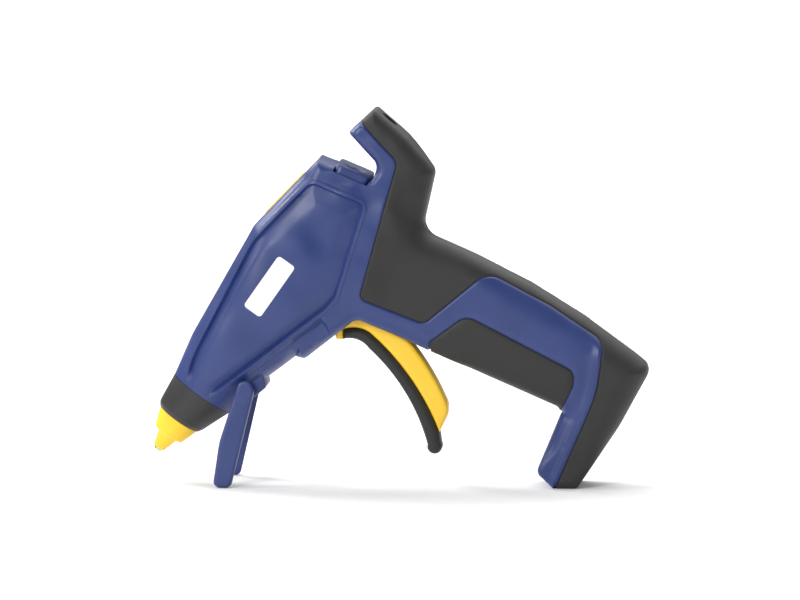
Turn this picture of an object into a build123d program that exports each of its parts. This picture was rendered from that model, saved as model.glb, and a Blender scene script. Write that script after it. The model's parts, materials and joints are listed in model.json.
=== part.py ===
"""Cordless hot-melt glue gun for 7 mm sticks, resting on its foot and its folded-out stand.

+X runs from the nozzle to the butt, +Z is up, and the floor is Z = 0. The two housing halves
meet on the plane Y = 0, and "left" is the -Y side. Sizes are in millimetres.
"""

from build123d import *
from math import cos, degrees, hypot, radians, sin
import os

os.makedirs("parts", exist_ok=True)

# ---- Driving dimensions -------------------------------------------------------------------
STICK_BORE_R = 3.8  # guides a 7 mm glue stick
BODY_HALF = 20.0  # half width of the barrel housing
HANDLE_HALF = 15.5  # half width of the handle, horn and foot
WALL = 2.2  # moulded housing wall
SKIN = 1.8  # rubber grip over the wall
BODY_BEVEL = 5.0
HANDLE_BEVEL = 3.0
FIT = 0.05  # radial clearance of a turning or sliding pin
GAP = 0.3  # clearance of a moving piece beside a fixed one

PITCH = radians(55)  # the barrel's slope
TIP = Vector(-102.7, 0, 13.2)  # the nozzle's orifice
TRIGGER_PIVOT = (-20.9, 72.5)
TRIGGER_ARM = 24.0  # pivot to link pin
TRIGGER_SWING = 20.0  # degrees of pull
STAND_PIVOT = (-63.9, 40.2)

# The barrel's own plane: local x runs up the barrel from the orifice, local y towards its spine.
AXIAL = Vector(cos(PITCH), 0, sin(PITCH))
SPINEWARD = Vector(-sin(PITCH), 0, cos(PITCH))
barrel = Plane(origin=TIP, x_dir=AXIAL, z_dir=(0, -1, 0))


def at(u, v):
    """The (x, z) of a point u up the barrel and v towards its spine."""
    spot = TIP + AXIAL * u + SPINEWARD * v
    return spot.X, spot.Z


def along(start, toward, distance):
    """The (x, z) of a point at a distance from start on the way to another point."""
    dx, dz = toward[0] - start[0], toward[1] - start[1]
    return start[0] + dx * distance / hypot(dx, dz), start[1] + dz * distance / hypot(dx, dz)


def outline(corners):
    """A closed line through corners given as (x, z, radius)."""
    FilletPolyline(*[c[:2] for c in corners], radius=[c[2] for c in corners], close=True)


def write(part, name):
    """Label a finished piece and write it as its own STEP file."""
    part.label = name
    export_step(part, f"parts/{name}.step")


# ---- Outlines, as (x, z, corner radius) -------------------------------------------------------
COLLAR_U = 31.3  # where the housing meets the nose collar
COLLAR_R = 14.3
COLLAR_V = -1.9  # the collar ring's centre lies a little under the stick
collar_top = at(COLLAR_U, COLLAR_V + COLLAR_R)
collar_bottom = at(COLLAR_U, COLLAR_V - COLLAR_R)

spine_and_inlet = [
    (*collar_top, 0),
    (-87.6, 62.6, 60),
    (-60.9, 109.3, 12),
    (-33.5, 137.7, 0),
    (-10.7, 128.1, 1.5),
]
horn_and_handle = [
    (-8.6, 135.6, 5),
    (-20.9, 148.8, 0),
    (-10.2, 158.8, 0),
    (3.8, 146.9, 40),
    (15.2, 132.6, 5),
    (9.4, 106.8, 8),
    (68.0, 80.8, 300),
    (106.0, 50.1, 5),
    (92.2, 24.9, 60),
    (75.2, 0, 0),
    (65.2, 0, 0),
    (58.0, 6.4, 0),
    (68.9, 33.0, 3.5),
]
underside = [
    (-39.5, 53.0, 0),
    (-43.6, 53.8, 0),
    (-57.2, 43.6, 40),
    (*collar_bottom, 0),
]
HOUSING = spine_and_inlet + horn_and_handle + [(-17.6, 70.6, 5)] + underside
BODY = (
    spine_and_inlet[:-1]
    + [(-11.6, 128.4, 0), (-12.5, 98.0, 30), (-17.2, 84.0, 10), (-18.0, 70.2, 0)]
    + underside
)

REAR_GRIP = [
    (-19.2, 157.2, 0),
    (-0.1, 137.0, 5),
    (-16.0, 79.7, 3),
    (11.2, 69.1, 5),
    (37.6, 91.0, 9),
    (64.0, 76.9, 0),
    (86.4, 62.0, 8),
    (83.4, 40.0, 50),
    (66.2, 0, 0),
    (64.4, -4, 0),
    (125, -4, 0),
    (125, 170, 0),
    (-19.2, 170, 0),
]
FRONT_GRIP = [
    (12.8, 54.0, 0),
    (13.5, 61.5, 1.5),
    (28.9, 72.9, 7),
    (74.2, 49.6, 5),
    (73.6, 43.0, 6),
    (64.0, 24.0, 0),
    (40.0, 34.0, 0),
]

# ---- Housing blocks (left side; the right is its mirror image) -----------------------------------
NOSE_CONE = [(COLLAR_U, 0), (COLLAR_U, COLLAR_R), (75, 30), (80, 200), (240, 200), (240, 0)]


def nose_cone(inset):
    """Keeps the block round at the collar and lets it turn square up the barrel."""
    profile = [(u, COLLAR_V + max(radius - inset, 0)) for u, radius in NOSE_CONE]
    with BuildPart() as cone:
        with BuildSketch(barrel):
            with BuildLine():
                Polyline(*profile, close=True)
            make_face()
        revolve(axis=Axis(TIP + SPINEWARD * COLLAR_V, AXIAL))
    return cone.part


def block(corners, half, inset, bevel):
    """One outline, shrunk by inset and extruded to the left, with its outer edge bevelled."""
    with BuildPart() as made:
        with BuildSketch(Plane.XZ):
            with BuildLine():
                outline(corners)
            make_face()
            if inset:
                offset(amount=-inset, kind=Kind.INTERSECTION)
        extrude(amount=half - inset)
        if bevel:
            chamfer(made.faces().sort_by(Axis.Y)[0].edges(), bevel)
    return made.part


# ---- Fixed features inside the housing -------------------------------------------------------
INNER_BEVEL = BODY_BEVEL - (2 - 2**0.5) * WALL  # keeps the wall's thickness behind the bevel
BOSS_R = 3.0
SCREWS = [
    at(62, -18),
    at(62, 13),
    at(100, 15),
    at(139, 10.5),
    (3.5, 124.0),
    (4.0, 91.0),
    (48.0, 82.0),
    (46.5, 51.0),
    (93.5, 50.0),
    (71.0, 15.5),
]
SCREW_HEAD_Y = 5.0  # the heads seat this far right of the joint
SCREW_HEAD_R, SCREW_HEAD_T = 2.6, 2.0
SCREW_R, SCREW_DEPTH = 1.2, 8.0
RIB_T = 2.0
FRONT_RIB_U, REAR_RIB_U, GUIDE_RIB_U = 38.0, 74.0, 137.0
CHAMBER_SEAT_R = 8.0
GUIDE_R = 6.2
PIN_R = 2.0  # trigger pin
PIN_END = 14.0  # the pin ends in a blind boss of each half
PIN_BOSS_R, PIN_BOSS_Y = 4.2, 7.3
AXLE_R = 1.5  # the stand's axle
SLOT_HALF = 7.0  # half width of the trigger slot
WING_HALF_T = 1.5  # the carriage's wing runs between two rails
RAIL_T = 1.6
RAIL_START_U, RAIL_L, RAIL_Y = 90.0, 34.0, 7.6  # the rails stand this far from the joint
RIB_DEPTH_V, RIB_W = 14.0, 40.0  # a rib reaches this far below the stick, and is this wide
BUSH_R = 5.2


def box_on(plane, x, y, size_x, size_y, depth, start=0.0):
    """A block drawn on a plane from its corner (x, y), standing from start to start + depth."""
    with BuildPart() as made:
        with BuildSketch(plane.offset(start)):
            with Locations((x + size_x / 2, y + size_y / 2)):
                Rectangle(size_x, size_y)
        extrude(amount=depth)
    return made.part


def posts(places, radius, start, end):
    """Round posts at (x, z) places, from Y = -start to Y = -end."""
    with BuildPart() as made:
        with BuildSketch(Plane.XZ.offset(start)):
            with Locations(*places):
                Circle(radius)
        extrude(amount=end - start)
    return made.part


def axial_rod(radius, start, end, v=0.0):
    """A rod along the barrel, from u = start to u = end."""
    with BuildPart() as made:
        with BuildSketch(Plane(origin=TIP + AXIAL * start + SPINEWARD * v, z_dir=AXIAL)):
            Circle(radius)
        extrude(amount=end - start)
    return made.part


# The stand folds to lie along the underside, in a pocket on each lower flank.
fold_plane = Plane(
    origin=(STAND_PIVOT[0], 0, STAND_PIVOT[1]), x_dir=(0.8, 0, 0.6), z_dir=(0, -1, 0)
)
LEG_REACH = 43.0
LEG_TOP = 4.0  # the pocket's height above the folded leg's middle
POCKET_FRONT, POCKET_BELOW = 7.0, 14.0  # the pocket's reach in front of the axle and below it
POCKET_FLOOR = 14.2
pocket = box_on(
    fold_plane, -POCKET_FRONT, -POCKET_BELOW, LEG_REACH + POCKET_FRONT, POCKET_BELOW + LEG_TOP,
    BODY_HALF, start=POCKET_FLOOR,
)
WALL_FRONT, WALL_BELOW = 40.0, 30.0  # the wall behind the pocket runs on to the barrel's edges
pocket_wall = box_on(
    fold_plane, -WALL_FRONT, -WALL_BELOW, LEG_REACH + WALL_FRONT + WALL, WALL_BELOW + LEG_TOP + WALL,
    BODY_HALF, start=POCKET_FLOOR - WALL,
)

# The power button lies on the spine: its plane's local x runs up the spine, its z points out.
button_plane = Plane(origin=(-48.2, 0, 122.75), x_dir=(0.695, 0, 0.719), z_dir=(-0.719, 0, 0.695))
BUTTON_L, BUTTON_W = 24.0, 9.0
LEDGE = (-11.6, -9.9)  # depths of the ledges that carry the switch board
LEDGE_L, LEDGE_W, LEDGE_GAP_W = 14.0, 40.0, 14.0  # the board hangs over the gap between the ledges


def on_button(length, width, low, high, corner=0.0):
    """A slab centred under the button, between two depths."""
    with BuildPart() as made:
        with BuildSketch(button_plane.offset(low)):
            if corner:
                RectangleRounded(length, width, corner)
            else:
                Rectangle(length, width)
        extrude(amount=high - low)
    return made.part


# One 18650 cell lies in the handle, between two ribs.
CELL_R, CELL_L = 9.1, 65.0
CELL_START, CELL_TOWARD = (23.2, 77.5), (84.0, 50.0)
CELL_RIBS, CELL_RIB_R = (12.0, 50.0), 17.0  # the ribs stand this far along the cell
cell_run = Vector(CELL_TOWARD[0] - CELL_START[0], 0, CELL_TOWARD[1] - CELL_START[1]).normalized()


def cell_rod(radius, start, end):
    """A rod along the cell's axis, measured from its front end."""
    with BuildPart() as made:
        with BuildSketch(Plane(origin=Vector(CELL_START[0], 0, CELL_START[1]) + cell_run * start,
                               x_dir=(0, 1, 0), z_dir=cell_run)):
            Circle(radius)
        extrude(amount=end - start)
    return made.part


with BuildPart() as outer:
    add(block(BODY, BODY_HALF, 0, BODY_BEVEL))
    add(block(HOUSING, HANDLE_HALF, 0, HANDLE_BEVEL))
    add(nose_cone(0), mode=Mode.INTERSECT)
    add(pocket, mode=Mode.SUBTRACT)

# The hollow inside: walls follow the outlines, and ribs, rails and posts are left standing.
with BuildPart() as hollow:
    add(block(BODY, BODY_HALF, WALL, INNER_BEVEL))
    add(block(HOUSING, HANDLE_HALF, WALL + SKIN, 0))
    add(nose_cone(WALL), mode=Mode.INTERSECT)
    add(pocket_wall, mode=Mode.SUBTRACT)
    for rib_u, seat_r in (
        (FRONT_RIB_U, CHAMBER_SEAT_R),
        (REAR_RIB_U, CHAMBER_SEAT_R),
        (GUIDE_RIB_U, GUIDE_R),
    ):
        rib = box_on(barrel, rib_u, -RIB_DEPTH_V, RIB_T, RIB_W, BODY_HALF)
        add(rib - axial_rod(seat_r, rib_u - 1, rib_u + RIB_T + 1), mode=Mode.SUBTRACT)
    for rail_v in (WING_HALF_T + GAP, -WING_HALF_T - GAP - RAIL_T):
        rail = box_on(barrel, RAIL_START_U, rail_v, RAIL_L, RAIL_T, BODY_HALF, start=RAIL_Y)
        add(rail, mode=Mode.SUBTRACT)
    ledges = on_button(LEDGE_L, LEDGE_W, *LEDGE)
    ledge_gap = on_button(LEDGE_L + 1, LEDGE_GAP_W, LEDGE[0] - 1, LEDGE[1] + 1)
    add(ledges - ledge_gap, mode=Mode.SUBTRACT)
    for rib_start in CELL_RIBS:
        seat = cell_rod(CELL_R, rib_start - 1, rib_start + RIB_T + 1)
        add(cell_rod(CELL_RIB_R, rib_start, rib_start + RIB_T) - seat, mode=Mode.SUBTRACT)
    add(posts(SCREWS, BOSS_R, 0, BODY_HALF), mode=Mode.SUBTRACT)
    add(posts([TRIGGER_PIVOT], PIN_BOSS_R, PIN_BOSS_Y, BODY_HALF), mode=Mode.SUBTRACT)

# The hinge lug under the barrel, between the stand's legs.
LUG_HALF = 11.5
LUG = [(-72.0, 38.0, 0), (-66.4, 35.4, 3), (-60.4, 37.2, 2), (-55.6, 41.2, 0), (-57, 48, 0), (-68, 46, 0)]
with BuildPart() as lug:
    with BuildSketch(Plane.XZ):
        with BuildLine():
            outline(LUG)
        make_face()
    extrude(amount=LUG_HALF)
    add(nose_cone(WALL), mode=Mode.SUBTRACT)

# The slot that the trigger swings in.
TRIGGER_SLOT = [
    (-28.6, 50.0, 0),
    (-28.6, 68.0, 0),
    (-22.0, 80.0, 0),
    (8.0, 78.0, 0),
    (34.0, 56.5, 0),
    (34.0, 40.0, 0),
]
with BuildPart() as trigger_slot:
    with BuildSketch(Plane.XZ):
        with BuildLine():
            outline(TRIGGER_SLOT)
        make_face()
    extrude(amount=SLOT_HALF)

button_hole = on_button(BUTTON_L + 2 * GAP, BUTTON_W + 2 * GAP, -6, 4, corner=3)
stick_hole = axial_rod(BUSH_R, 150, 185)
inlet_hole = axial_rod(GUIDE_R, 134, 160)
collar_socket = axial_rod(COLLAR_R - WALL, COLLAR_U - 1, COLLAR_U + 6, v=COLLAR_V)

# The inlet guide's flange lies in the inlet face, which slopes down to the rear.
inlet_plane = Plane(
    origin=(-19.1, 0, 131.7), x_dir=(0.922, 0, -0.388), z_dir=(0.388, 0, 0.922)
)
FLANGE_L, FLANGE_W, FLANGE_T, FLANGE_RISE = 15.4, 28.0, 3.2, 1.4


def on_inlet(length, width, low, high, corner=0.0):
    """A slab centred on the inlet face, between two depths."""
    with BuildPart() as made:
        with BuildSketch(inlet_plane.offset(low)):
            if corner:
                RectangleRounded(length, width, corner)
            else:
                Rectangle(length, width)
        extrude(amount=high - low)
    return made.part


inlet_recess = on_inlet(FLANGE_L + 0.2, FLANGE_W + 0.2, FLANGE_RISE - FLANGE_T, 3, corner=3)

# The charge socket opens in the bottom of the foot.
SOCKET_X = 70.4
socket_hole = Pos(SOCKET_X, 0, 3) * Box(3.6, 9.4, 12)

# ---- Rubber grips and housing halves ----------------------------------------------------------
grip_core = block(HOUSING, HANDLE_HALF, SKIN, 0)
screw_sockets = mirror(posts(SCREWS, SCREW_HEAD_R + 0.2, SCREW_HEAD_Y, 30), about=Plane.XZ)
pin_hole = posts([TRIGGER_PIVOT], PIN_R, -PIN_END, PIN_END)
axle_hole = posts([STAND_PIVOT], AXLE_R + FIT, -30, 30)


def grip(zone):
    """The rubber over one zone of the handle."""
    with BuildPart() as rubber:
        with BuildSketch(Plane.XZ):
            with BuildLine():
                outline(zone)
            make_face()
        extrude(amount=HANDLE_HALF)
        add(outer.part, mode=Mode.INTERSECT)
        add(grip_core, mode=Mode.SUBTRACT)
        add(trigger_slot.part, mode=Mode.SUBTRACT)
        add(stick_hole, mode=Mode.SUBTRACT)
        add(socket_hole, mode=Mode.SUBTRACT)
    return rubber.part


rear_skin, front_skin = grip(REAR_GRIP), grip(FRONT_GRIP)

with BuildPart() as left_shell:
    add(outer.part)
    add(lug.part)
    for cut in (
        rear_skin, front_skin, hollow.part, trigger_slot.part, button_hole, stick_hole,
        inlet_hole, inlet_recess, socket_hole, collar_socket,
    ):
        add(cut, mode=Mode.SUBTRACT)
    half_shell = left_shell.part
    add(posts(SCREWS, SCREW_R + FIT, 0, SCREW_DEPTH + 1), mode=Mode.SUBTRACT)
    add(pin_hole, mode=Mode.SUBTRACT)
    add(axle_hole, mode=Mode.SUBTRACT)
write(left_shell.part, "left_shell")

with BuildPart() as right_shell:
    add(mirror(half_shell, about=Plane.XZ))
    add(posts(SCREWS, SCREW_R + FIT, -30, 0), mode=Mode.SUBTRACT)
    add(screw_sockets, mode=Mode.SUBTRACT)
    add(pin_hole, mode=Mode.SUBTRACT)
    add(axle_hole, mode=Mode.SUBTRACT)
write(right_shell.part, "right_shell")

for place, skin in (("rear", rear_skin), ("front", front_skin)):
    write(skin, f"left_{place}_grip")
    with BuildPart() as right_grip:
        add(mirror(skin, about=Plane.XZ))
        add(screw_sockets, mode=Mode.SUBTRACT)
    write(right_grip.part, f"right_{place}_grip")

with BuildPart() as housing_screws:
    for x, z in SCREWS:
        with BuildSketch(Plane.XZ.offset(-SCREW_HEAD_Y)):
            with Locations((x, z)):
                Circle(SCREW_HEAD_R)
        extrude(amount=-SCREW_HEAD_T)
        with BuildSketch(Plane.XZ.offset(-SCREW_HEAD_Y)):
            with Locations((x, z)):
                Circle(SCREW_R)
        extrude(amount=SCREW_HEAD_Y + SCREW_DEPTH)
        with BuildSketch(Plane.XZ.offset(-SCREW_HEAD_Y - SCREW_HEAD_T)):
            with Locations((x, z)):
                RegularPolygon(1.1, 6)
        extrude(amount=1.2, mode=Mode.SUBTRACT)
write(housing_screws.part, "housing_screws")

# ---- Nose and heater ------------------------------------------------------------------------
def turned(profile, v=0.0):
    """A piece turned about the barrel's axis, from its (u, r) profile."""
    with BuildPart() as made:
        with BuildSketch(barrel):
            with BuildLine():
                Polyline(*[(u, r + v) for u, r in profile], close=True)
            make_face()
        revolve(axis=Axis(TIP + SPINEWARD * v, AXIAL))
    return made.part


NOZZLE_BORE_R = 0.9
with BuildPart() as nozzle:
    add(turned([
        (0, NOZZLE_BORE_R), (0, 1.6), (2.0, 1.9), (7.6, 3.1), (9.6, 5.8), (25.0, 5.8),
        (25.0, 5.0), (33.0, 5.0), (33.0, 2.6), (9.0, 2.6), (5.0, NOZZLE_BORE_R),
    ]))
write(nozzle.part, "nozzle")

with BuildPart() as nozzle_cover:
    add(turned([
        (1.1, 1.8), (1.1, 2.5), (7.8, 4.6), (8.2, 6.5), (8.8, 6.9), (16.2, 9.4), (16.35, 9.4),
        (16.35, 8.9), (22.0, 8.9), (22.0, 5.9), (9.5, 5.9), (7.5, 3.15), (2.0, 1.95),
    ]))
write(nozzle_cover.part, "nozzle_cover")

COLLAR_MOUTH_U, COLLAR_EDGE_U, COLLAR_EDGE_R = 16.4, 18.2, 11.0
with BuildPart() as nose_collar:
    with BuildSketch(Plane(origin=TIP + AXIAL * COLLAR_EDGE_U, z_dir=AXIAL)):
        Circle(COLLAR_EDGE_R)
    with BuildSketch(Plane(origin=TIP + AXIAL * COLLAR_U + SPINEWARD * COLLAR_V, z_dir=AXIAL)):
        Circle(COLLAR_R)
    loft()
    add(turned([(COLLAR_MOUTH_U, 0), (COLLAR_MOUTH_U, 9.9), (COLLAR_EDGE_U, COLLAR_EDGE_R),
                (COLLAR_EDGE_U, 0)]))
    add(axial_rod(COLLAR_R - WALL - 0.1, COLLAR_U, COLLAR_U + 4.5, v=COLLAR_V))
    add(axial_rod(9.0, COLLAR_MOUTH_U - 1, 24), mode=Mode.SUBTRACT)
    add(axial_rod(10.0, 22, COLLAR_U + 5, v=COLLAR_V), mode=Mode.SUBTRACT)
write(nose_collar.part, "nose_collar")

# The chamber is bored for the stick and narrows to the nozzle; a flat below it takes the heater.
CHAMBER_R, CHAMBER_END_U = 6.6, 80.0
FLAT_START_U, FLAT_V, FLAT_L, FLAT_HALF = 44.0, -10.2, 26.0, 6.0
POCKET_V, POCKET_T = -9.4, 2.4
with BuildPart() as melt_chamber:
    add(axial_rod(CHAMBER_R, 25.2, CHAMBER_END_U))
    add(box_on(barrel, FLAT_START_U, FLAT_V, FLAT_L, 6.2, 2 * FLAT_HALF, start=-FLAT_HALF))
    add(turned([(24, 0), (24, 5.0), (33.0, 5.0), (40, 3.4), (60, STICK_BORE_R), (82, STICK_BORE_R),
                (82, 0)]), mode=Mode.SUBTRACT)
    add(box_on(barrel, 46, POCKET_V, 26, POCKET_T, 9, start=-4.5), mode=Mode.SUBTRACT)
write(melt_chamber.part, "melt_chamber")

write(box_on(barrel, 47, POCKET_V + 0.1, 20, POCKET_T - 0.2, 8.6, start=-4.3), "heater_element")

CLIP_T = 0.5
with BuildPart() as heater_clip:
    add(box_on(barrel, 52, -10.25 - CLIP_T, 10, 5.0, 13.2, start=-6.6))
    add(box_on(barrel, 51, -10.25, 12, 6.0, 12.1, start=-6.05), mode=Mode.SUBTRACT)
write(heater_clip.part, "heater_clip")

with BuildPart() as chamber_rings:
    for rib_u in (FRONT_RIB_U, REAR_RIB_U):
        add(turned([(rib_u - 1, CHAMBER_R + FIT), (rib_u - 1, CHAMBER_SEAT_R - FIT),
                    (rib_u + 3, CHAMBER_SEAT_R - FIT), (rib_u + 3, CHAMBER_R + FIT)]))
write(chamber_rings.part, "chamber_rings")

SLEEVE_R, SLEEVE_END_U = 5.4, 94.8
with BuildPart() as inlet_sleeve:
    add(turned([
        (77.6, CHAMBER_R + FIT), (77.6, 7.6), (82.0, 7.6), (82.0, SLEEVE_R), (SLEEVE_END_U, SLEEVE_R),
        (SLEEVE_END_U, 3.9), (CHAMBER_END_U + 0.2, 3.9), (CHAMBER_END_U + 0.2, CHAMBER_R + FIT),
    ]))
write(inlet_sleeve.part, "inlet_sleeve")

# ---- Stick guides ---------------------------------------------------------------------------
with BuildPart() as inlet_guide:
    add(axial_rod(GUIDE_R - FIT, 125, 143))
    add(on_inlet(FLANGE_L, FLANGE_W, FLANGE_RISE - FLANGE_T + 0.05, FLANGE_RISE, corner=2.9))
    add(axial_rod(STICK_BORE_R, 120, 155), mode=Mode.SUBTRACT)
write(inlet_guide.part, "inlet_guide")

BUSH_START_U, BUSH_END_U = 157.0, 169.5
with BuildPart() as entry_bush:
    add(axial_rod(BUSH_R - FIT, BUSH_START_U, BUSH_END_U))
    add(axial_rod(STICK_BORE_R, BUSH_START_U - 1, BUSH_END_U + 1), mode=Mode.SUBTRACT)
write(entry_bush.part, "entry_bush")

# ---- Feed mechanism: the trigger's arm drives the carriage down the barrel ------------------------
link_angle = PITCH + radians(90 - TRIGGER_SWING / 2)  # half the swing behind square, at rest
link_pin_at = (
    TRIGGER_PIVOT[0] + TRIGGER_ARM * cos(link_angle),
    TRIGGER_PIVOT[1] + TRIGGER_ARM * sin(link_angle),
)
link_spot = Vector(link_pin_at[0], 0, link_pin_at[1]) - TIP
LINK_R, LINK_U = 1.25, link_spot.dot(AXIAL)
PLATE_Y, PLATE_T = 3.0, 2.6  # the carriage's two side plates
JAW_PIVOT_U, JAW_PIVOT_V, JAW_PIN_R = 117.5, -9.6, 1.0
jaw_pivot = at(JAW_PIVOT_U, JAW_PIVOT_V)

with BuildPart() as pusher_carriage:
    add(axial_rod(6.5, 104, 122))
    for side_y in (PLATE_Y, -PLATE_Y - PLATE_T):
        add(box_on(barrel, 96.0, -13.2, 26.0, 6.4, PLATE_T, start=side_y))
        add(box_on(barrel, 104.5, -13.2, 17.5, 10.2, PLATE_T, start=side_y))
    for side_y in (5.6, -9.4):
        add(box_on(barrel, 104, -WING_HALF_T, 16, 2 * WING_HALF_T, 3.8, start=side_y))
    add(axial_rod(3.9, 90, 130), mode=Mode.SUBTRACT)
    add(box_on(barrel, 108, -14, 11.5, 12, 5.4, start=-2.7), mode=Mode.SUBTRACT)
    link_slot = LINK_R + FIT
    add(box_on(barrel, LINK_U - link_slot, -10.9, 2 * link_slot, 6, 14, start=-7), mode=Mode.SUBTRACT)
    add(posts([jaw_pivot], JAW_PIN_R, -8, 8), mode=Mode.SUBTRACT)
write(pusher_carriage.part, "pusher_carriage")

JAW_HALF = 2.4
JAW = [
    (119.4, -11.4, 1),
    (119.4, -8.2, 1),
    (115.4, -3.95, 0),
    (111.4, -3.95, 0),
    (110.4, -6.6, 1),
    (114.6, -11.4, 1),
]
with BuildPart() as gripper_jaw:
    with BuildSketch(barrel):
        with BuildLine():
            outline(JAW)
        make_face()
    extrude(amount=JAW_HALF, both=True)
    add(posts([jaw_pivot], JAW_PIN_R + FIT, -8, 8), mode=Mode.SUBTRACT)
write(gripper_jaw.part, "gripper_jaw")
write(posts([jaw_pivot], JAW_PIN_R, -PLATE_Y - PLATE_T, PLATE_Y + PLATE_T), "gripper_pin")

SPRING_R, SPRING_WIRE_R, SPRING_PITCH = 5.95, 0.4, 3.0
SPRING_START_U, SPRING_L = 82.5, 21.0
with BuildPart() as return_spring:
    with BuildLine() as coil:
        Helix(SPRING_PITCH, SPRING_L, SPRING_R, center=TIP + AXIAL * SPRING_START_U, direction=AXIAL)
    with BuildSketch(Plane(origin=coil.line @ 0, z_dir=coil.line % 0)):
        Circle(SPRING_WIRE_R)
    sweep(path=coil.line)
write(return_spring.part, "return_spring")

# ---- Trigger ----------------------------------------------------------------------------------
HUB_R, HUB_HALF = 4.1, 6.8
BLADE_HALF, PAD_HALF, ARM_HALF, ARM_R = 6.0, 6.4, 2.4, 2.1
PAD_TOP, PAD_ELBOW, PAD_FOOT = (-23.6, 65.4), (-12.2, 64.0), (16.9, 22.3)


def pad_seam():
    """Where the rubber pad lies on the trigger's front."""
    ThreePointArc(PAD_TOP, (-18.5, 66.2), PAD_ELBOW)
    ThreePointArc(PAD_ELBOW, (4.4, 45.6), PAD_FOOT)


with BuildPart() as trigger:
    with BuildSketch(Plane.XZ):
        with BuildLine():
            pad_seam()
            Line(PAD_FOOT, (20.0, 28.6))
            ThreePointArc((20.0, 28.6), (20.6, 32.2), (19.4, 36.4))
            ThreePointArc((19.4, 36.4), (12.4, 49.6), (3.7, 61.6))
            Polyline((3.7, 61.6), (-6.0, 68.4), (-17.0, 75.0), (-24.6, 74.6), (-27.3, 64.2),
                     (-26.4, 61.2), (-23.6, 61.2), PAD_TOP)
        make_face()
    extrude(amount=BLADE_HALF, both=True)
    with BuildSketch(Plane.XZ):
        with Locations(TRIGGER_PIVOT):
            Circle(HUB_R)
    extrude(amount=HUB_HALF, both=True)
    with BuildSketch(Plane.XZ):
        with Locations(along(TRIGGER_PIVOT, link_pin_at, TRIGGER_ARM / 2)):
            SlotCenterToCenter(TRIGGER_ARM, 2 * ARM_R, rotation=degrees(link_angle))
    extrude(amount=ARM_HALF, both=True)
    add(posts([TRIGGER_PIVOT], PIN_R + FIT, -8, 8), mode=Mode.SUBTRACT)
    add(posts([link_pin_at], LINK_R, -8, 8), mode=Mode.SUBTRACT)
write(trigger.part, "trigger")

with BuildPart() as trigger_pad:
    with BuildSketch(Plane.XZ):
        with BuildLine():
            pad_seam()
            Line(PAD_FOOT, (17.6, 17.6))
            ThreePointArc((17.6, 17.6), (14.9, 13.0), (11.9, 17.0))
            ThreePointArc((11.9, 17.0), (2.0, 39.6), (-12.9, 57.4))
            ThreePointArc((-12.9, 57.4), (-17.4, 60.9), (-23.6, 61.2))
            Line((-23.6, 61.2), PAD_TOP)
        make_face()
    extrude(amount=PAD_HALF, both=True)
write(trigger_pad.part, "trigger_pad")
write(posts([link_pin_at], LINK_R, -PLATE_Y - PLATE_T, PLATE_Y + PLATE_T), "link_pin")
write(posts([TRIGGER_PIVOT], PIN_R, -PIN_END, PIN_END), "trigger_pin")

# ---- Folding stand -------------------------------------------------------------------------
LEG_INNER, LEG_T, LEG_SPLAY = 14.5, 3.0, radians(7)
LEG_HUB_R, HUB_CAP = 3.6, 0.4  # the hub covers the axle's end
LEG = [
    (-68.0, 40.2, 0),
    (-64.9, 44.6, 3),
    (-60.4, 42.6, 2),
    (-69.5, -1.5, 0),
    (-77.4, -1.5, 0),
    (-74.6, 18.4, 25),
]


def leg(side):
    """One leg: it leans outward below its hub. side is -1 for the left leg."""
    with BuildPart() as made:
        with BuildSketch(Plane(origin=(0, side * LEG_INNER, STAND_PIVOT[1]), x_dir=(1, 0, 0),
                               z_dir=(0, -cos(LEG_SPLAY), -side * sin(LEG_SPLAY)))):
            with BuildLine():
                outline([(x, z - STAND_PIVOT[1], r) for x, z, r in LEG])
            make_face()
        extrude(amount=-side * LEG_T)
        with BuildSketch(Plane.XZ.offset(-side * LEG_INNER)):
            with Locations(STAND_PIVOT):
                Circle(LEG_HUB_R)
        extrude(amount=-side * (LEG_T + HUB_CAP))
        split(bisect_by=Plane.XZ.offset(-side * LEG_INNER), keep=Keep.TOP if side < 0 else Keep.BOTTOM)
        split(bisect_by=Plane.XY, keep=Keep.TOP)
        add(posts([STAND_PIVOT], AXLE_R, -LEG_INNER - LEG_T, LEG_INNER + LEG_T), mode=Mode.SUBTRACT)
    return made.part


write(leg(-1), "stand_left_leg")
write(leg(1), "stand_right_leg")
write(posts([STAND_PIVOT], AXLE_R, -LEG_INNER - LEG_T, LEG_INNER + LEG_T), "stand_axle")

# ---- Power button and electronics --------------------------------------------------------------
BUTTON_RISE, BUTTON_SEAT, BUTTON_TRAVEL = 0.4, -2.5, 1.0
SWITCH_TOP = -5.9
with BuildPart() as power_button:
    add(on_button(BUTTON_L, BUTTON_W, BUTTON_SEAT, BUTTON_RISE, corner=2.7))
    add(on_button(BUTTON_L + 3, BUTTON_W + 3, BUTTON_SEAT - 1.0, BUTTON_SEAT, corner=4))
    add(on_button(3, 3, SWITCH_TOP + BUTTON_TRAVEL + GAP, BUTTON_SEAT - 1.0))
write(power_button.part, "power_button")
write(on_button(6, 6, -8.7, SWITCH_TOP), "power_switch")
write(on_button(18, 18, LEDGE[1], -8.7), "switch_board")

write(cell_rod(CELL_R - FIT, 0, CELL_L), "battery_cell")
write(cell_rod(7.5, -0.8, -0.1), "front_contact")
write(cell_rod(7.5, CELL_L + 0.1, CELL_L + 0.8), "rear_contact")

foot_plane = Plane(origin=(80.5, 9.8, 32.0), x_dir=(-0.447, 0, -0.894), z_dir=(0, 1, 0))
with BuildPart() as control_board:
    with BuildSketch(foot_plane):
        Rectangle(24, 12)
    extrude(amount=1.6)
write(control_board.part, "control_board")

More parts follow.
